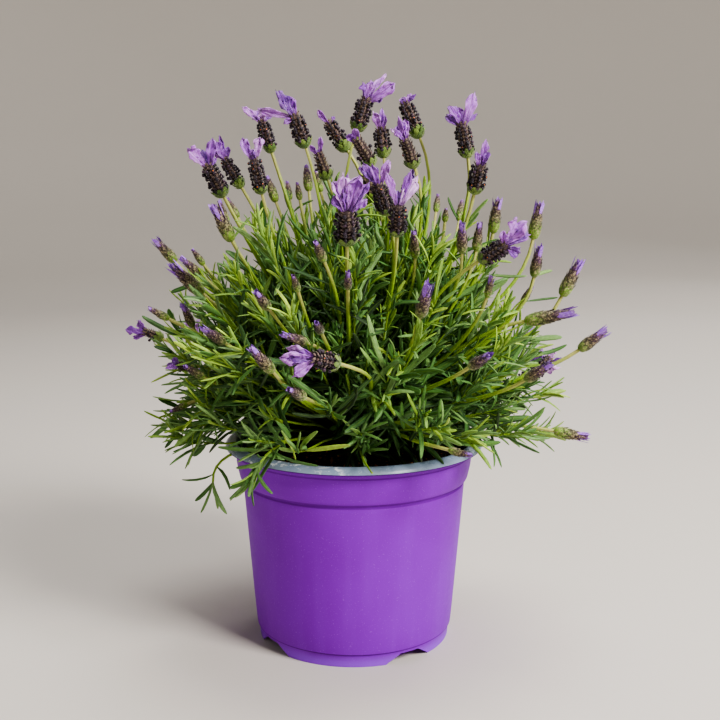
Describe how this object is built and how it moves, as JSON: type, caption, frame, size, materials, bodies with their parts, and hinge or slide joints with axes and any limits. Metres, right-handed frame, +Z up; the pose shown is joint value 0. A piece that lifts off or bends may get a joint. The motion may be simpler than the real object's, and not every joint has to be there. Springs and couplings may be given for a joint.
{
  "type": "potted lavender",
  "caption": "Bushy Spanish lavender with dark flower spikes and violet tufts, growing in a round tapered plastic nursery pot with a notched foot.",
  "frame": {"origin": "on the ground under the middle of the pot and plant", "axes": "+Z up, -Y towards the side seen in the picture, +X to its right"},
  "size_m": [0.358, 0.3273, 0.4153],
  "materials": {
    "pot_plastic": "semi-gloss violet moulded plastic, grey inside",
    "soil": "crumbly dark peat",
    "foliage": "matt grey-green leaves and pale green square stems",
    "florets": "matt near-black purple florets",
    "bracts": "soft violet bracts with darker veins"
  },
  "bodies": {
    "root": {"pot": "pot_plastic", "soil": "soil", "foliage": "foliage", "spike_01": "florets", "bracts_01": "bracts", "spike_02": "florets", "bracts_02": "bracts", "spike_03": "florets", "bracts_03": "bracts", "spike_04": "florets", "bracts_04": "bracts", "spike_05": "florets", "bracts_05": "bracts", "spike_06": "florets", "bracts_06": "bracts", "spike_07": "florets", "bracts_07": "bracts", "spike_08": "florets", "bracts_08": "bracts", "spike_09": "florets", "bracts_09": "bracts", "spike_10": "florets", "bracts_10": "bracts", "spike_11": "florets", "bracts_11": "bracts", "spike_12": "florets", "bracts_12": "bracts", "spike_13": "florets", "bracts_13": "bracts", "spike_14": "florets", "bracts_14": "bracts", "spike_15": "florets", "bracts_15": "bracts", "spike_16": "florets", "bracts_16": "bracts", "spike_17": "florets", "bracts_17": "bracts", "spike_18": "florets", "bracts_18": "bracts", "spike_19": "florets", "bracts_19": "bracts", "spike_20": "florets", "bracts_20": "bracts", "spike_21": "florets", "bracts_21": "bracts", "spike_22": "florets", "bracts_22": "bracts", "spike_23": "florets", "bracts_23": "bracts", "spike_24": "florets", "bracts_24": "bracts", "spike_25": "florets", "bracts_25": "bracts", "spike_26": "florets", "bracts_26": "bracts", "spike_27": "florets", "bracts_27": "bracts", "spike_28": "florets", "bracts_28": "bracts"}
  },
  "joints": []
}
